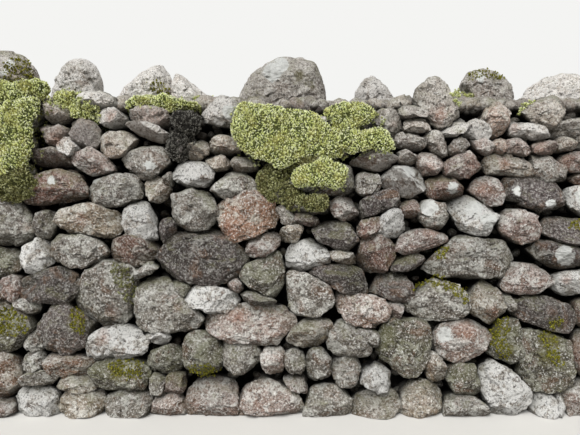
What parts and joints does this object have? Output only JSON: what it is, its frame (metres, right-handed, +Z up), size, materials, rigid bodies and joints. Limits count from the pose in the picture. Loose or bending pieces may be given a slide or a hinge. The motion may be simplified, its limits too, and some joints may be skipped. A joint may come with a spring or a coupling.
{
  "type": "dry stone wall",
  "caption": "Dry stone wall of rounded field boulders in two leaning faces, topped by upright cope boulders and patched with moss.",
  "frame": {"origin": "on the ground, under the middle of the wall's length and thickness", "axes": "X runs along the wall, -Y is the front that the picture shows, +Z is up"},
  "size_m": [3, 0.7766, 1.4864],
  "materials": {
    "back_stone": "rough weathered granite with grey lichen",
    "cope_stone": "pale weathered granite with lichen",
    "front_stone": "rough weathered granite with grey and white lichen",
    "hearting_stone": "rough",
    "end_stone": "rough weathered granite",
    "moss": "soft matt moss"
  },
  "bodies": {
    "root": {"back_course_1": "back_stone", "back_course_2": "back_stone", "back_course_3": "back_stone", "back_course_4": "back_stone", "back_course_5": "back_stone", "back_course_6": "back_stone", "back_course_7": "back_stone", "back_footings": "back_stone", "back_shoulder": "back_stone", "cope_beige_front": "cope_stone", "cope_bridge_stone": "cope_stone", "cope_capped_boulder": "cope_stone", "cope_great_boulder": "cope_stone", "cope_grey_rose": "cope_stone", "cope_left_outer": "cope_stone", "cope_long_grey": "cope_stone", "cope_mossy_block": "cope_stone", "cope_mossy_end": "cope_stone", "cope_pale_egg": "cope_stone", "cope_pale_nose": "cope_stone", "cope_right_outer": "cope_stone", "cope_rusty_stem": "cope_stone", "cope_split_peak": "cope_stone", "cope_thin_fin": "cope_stone", "front_course_1": "front_stone", "front_course_2": "front_stone", "front_course_3": "front_stone", "front_course_4": "front_stone", "front_course_5": "front_stone", "front_course_6": "front_stone", "front_course_7": "front_stone", "front_footings": "front_stone", "front_shoulder": "front_stone", "hearting": "hearting_stone", "left_end_pairs": "end_stone", "left_end_ties": "end_stone", "moss_centre_lobes": "moss", "moss_centre_mound": "moss", "moss_crest": "moss", "moss_left_bank": "moss", "moss_right_cushions": "moss", "right_end_pairs": "end_stone", "right_end_ties": "end_stone"}
  },
  "joints": []
}
